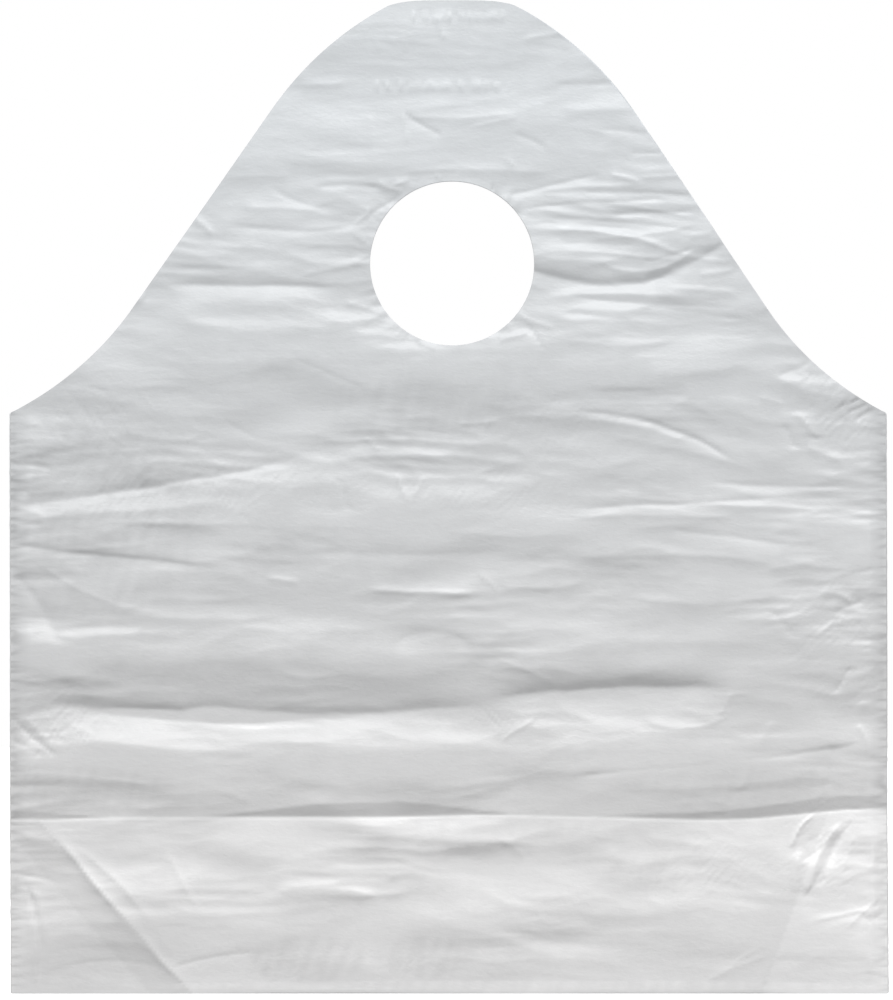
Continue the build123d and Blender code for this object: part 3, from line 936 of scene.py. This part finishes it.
def area_light(name, place, target, width, depth, power):
    """A soft box at place, facing target."""
    light = bpy.data.lights.new(name, "AREA")
    light.shape, light.size, light.size_y, light.energy = "RECTANGLE", width, depth, power
    made = bpy.data.objects.new(name, light)
    made.location = place
    made.rotation_euler = (Vector(target) - Vector(place)).to_track_quat("-Z", "Y").to_euler()
    bpy.context.scene.collection.objects.link(made)


FLOOR_REACH, FLOOR_Z = 4.0, -0.0006
FLOOR_SEEN = 0.78  # how bright the camera sees the floor
FILL = 0.20  # light from all round


def build_stage():
    """A pale floor, a white room for the camera, and a softer even light from all round."""
    mesh = bpy.data.meshes.new("floor")
    reach = FLOOR_REACH
    corners = [(-reach, -reach), (reach, -reach), (reach, reach), (-reach, reach)]
    mesh.from_pydata([(x, y, FLOOR_Z) for x, y in corners], [], [(0, 1, 2, 3)])
    # the camera sees it nearly white, yet it throws little light up onto the bag
    material = bpy.data.materials.new("pale_floor")
    material.use_nodes = True
    tree = material.node_tree
    shader = tree.nodes["Principled BSDF"]
    shader.inputs["Base Color"].default_value = (0.3, 0.3, 0.3, 1)
    shader.inputs["Roughness"].default_value = 0.9
    shader.inputs["Emission Color"].default_value = (FLOOR_SEEN, FLOOR_SEEN, FLOOR_SEEN, 1)
    seen = node(tree, "ShaderNodeLightPath").outputs["Is Camera Ray"]
    tree.links.new(seen, shader.inputs["Emission Strength"])
    mesh.materials.append(material)
    floor = bpy.data.objects.new("floor", mesh)
    bpy.context.scene.collection.objects.link(floor)

    world = bpy.data.worlds.new("white_room")
    bpy.context.scene.world = world
    world.use_nodes = True
    tree = world.node_tree
    tree.nodes.clear()
    output = node(tree, "ShaderNodeOutputWorld")
    ray = node(tree, "ShaderNodeLightPath")
    seen = node(tree, "ShaderNodeBackground", {"Color": (1, 1, 1, 1), "Strength": 1.0})
    fill = node(tree, "ShaderNodeBackground", {"Color": (1, 1, 1, 1), "Strength": FILL})
    mix = node(tree, "ShaderNodeMixShader", {0: ray.outputs["Is Camera Ray"]})
    tree.links.new(fill.outputs[0], mix.inputs[1])
    tree.links.new(seen.outputs[0], mix.inputs[2])
    tree.links.new(mix.outputs[0], output.inputs["Surface"])


build_stage()
BAG_MIDDLE = (0, 0, 0.28)
area_light("key", (-0.76, -3.58, 8.5), BAG_MIDDLE, 2.6, 1.5, 830)
area_light("front_strip", (0.35, -1.95, 1.35), BAG_MIDDLE, 1.4, 0.35, 13)
area_light("back_key", (1.0, 3.6, 6.0), BAG_MIDDLE, 2.2, 1.4, 560)

bpy.context.scene.view_settings.view_transform = "Standard"

CAMERA_X, CAMERA_DISTANCE, CAMERA_Z = -0.00185, 4.0, 0.2861
FRAME_HEIGHT = 0.5786  # of the bag's plane that the picture takes in
camera = bpy.data.cameras.new("camera")
camera.sensor_fit = "VERTICAL"
camera.sensor_height = 36
camera.lens = camera.sensor_height * CAMERA_DISTANCE / FRAME_HEIGHT
camera.clip_end = 50
viewer = bpy.data.objects.new("camera", camera)
viewer.location = (CAMERA_X, -CAMERA_DISTANCE, CAMERA_Z)
viewer.rotation_euler = (np.radians(90), 0, 0)
bpy.context.scene.collection.objects.link(viewer)
bpy.context.scene.camera = viewer
